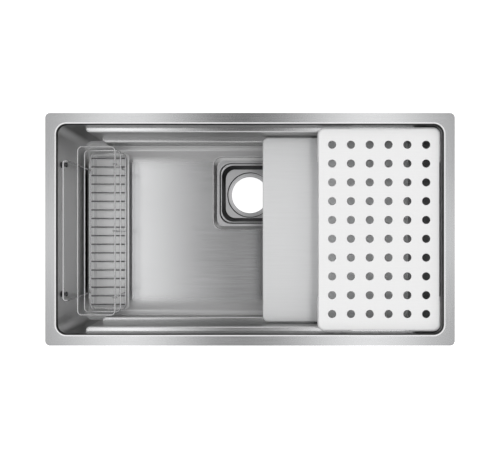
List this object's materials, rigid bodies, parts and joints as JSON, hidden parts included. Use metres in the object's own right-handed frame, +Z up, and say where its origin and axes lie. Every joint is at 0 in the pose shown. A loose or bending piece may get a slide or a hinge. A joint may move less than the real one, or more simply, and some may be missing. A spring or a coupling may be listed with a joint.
{
  "type": "kitchen sink",
  "caption": "Drop-in stainless kitchen sink with two-tier ledges, square drain sump, hanging wire basket, sliding cover plate and sliding perforated drainer.",
  "frame": {"origin": "centre of the rim at the height of its top face, on the middle of the worktop cut-out", "axes": "+Z up, +X to the user's right along the sink's length, +Y to the rear"},
  "size_m": [0.85, 0.483, 0.2565],
  "materials": {
    "bowl_steel": "satin brushed stainless",
    "sump_steel": "satin pressed stainless",
    "stud_steel": "turned stainless",
    "wire_steel": "electropolished stainless wire",
    "tray_steel": "bright satin stainless",
    "cover_steel": "fine satin stainless",
    "drainer_steel": "fine brushed bright stainless",
    "zinc_plate": "zinc-plated sheet",
    "grey_rubber": "moulded dark grey rubber",
    "black_rubber": "moulded black rubber",
    "foam": "closed-cell foam",
    "damper_rubber": "matt damping pad"
  },
  "bodies": {
    "sink": {"bowl": "bowl_steel", "drain_sump": "sump_steel", "wall_studs": "stud_steel", "stud_seals": "black_rubber", "stud_washers": "zinc_plate", "stud_nuts": "zinc_plate", "rim_seals": "foam", "clip_rail_rear": "zinc_plate", "clip_rail_front": "zinc_plate", "clip_rail_left": "zinc_plate", "clip_rail_right": "zinc_plate", "clips": "zinc_plate", "clip_screws": "zinc_plate", "floor_damper_left": "damper_rubber", "floor_damper_right": "damper_rubber", "wall_damper_rear": "damper_rubber", "wall_damper_front": "damper_rubber", "wall_damper_left": "damper_rubber", "wall_damper_right": "damper_rubber"},
    "basket": {"hanger_frame": "wire_steel", "top_ring": "wire_steel", "middle_ring": "wire_steel", "bottom_ring": "wire_steel", "basket_floor_wires": "wire_steel", "basket_uprights": "wire_steel", "drip_tray": "tray_steel"},
    "cover": {"cover_plate": "cover_steel", "cover_feet": "black_rubber"},
    "drainer": {"drainer_plate": "drainer_steel", "drainer_pad_rear_left": "grey_rubber", "drainer_pad_rear_right": "grey_rubber", "drainer_pad_front_left": "grey_rubber", "drainer_pad_front_right": "grey_rubber"}
  },
  "joints": [
    {"name": "drainer_slide", "type": "slide", "parent": "sink", "child": "drainer", "axis": [1, 0, 0], "range_m": [-0.43, 0]},
    {"name": "cover_slide", "type": "slide", "parent": "sink", "child": "cover", "axis": [1, 0, 0], "range_m": [-0.315, 0]},
    {"name": "basket_lift", "type": "slide", "parent": "sink", "child": "basket", "axis": [0, 0, 1], "range_m": [0, 0.25]}
  ]
}
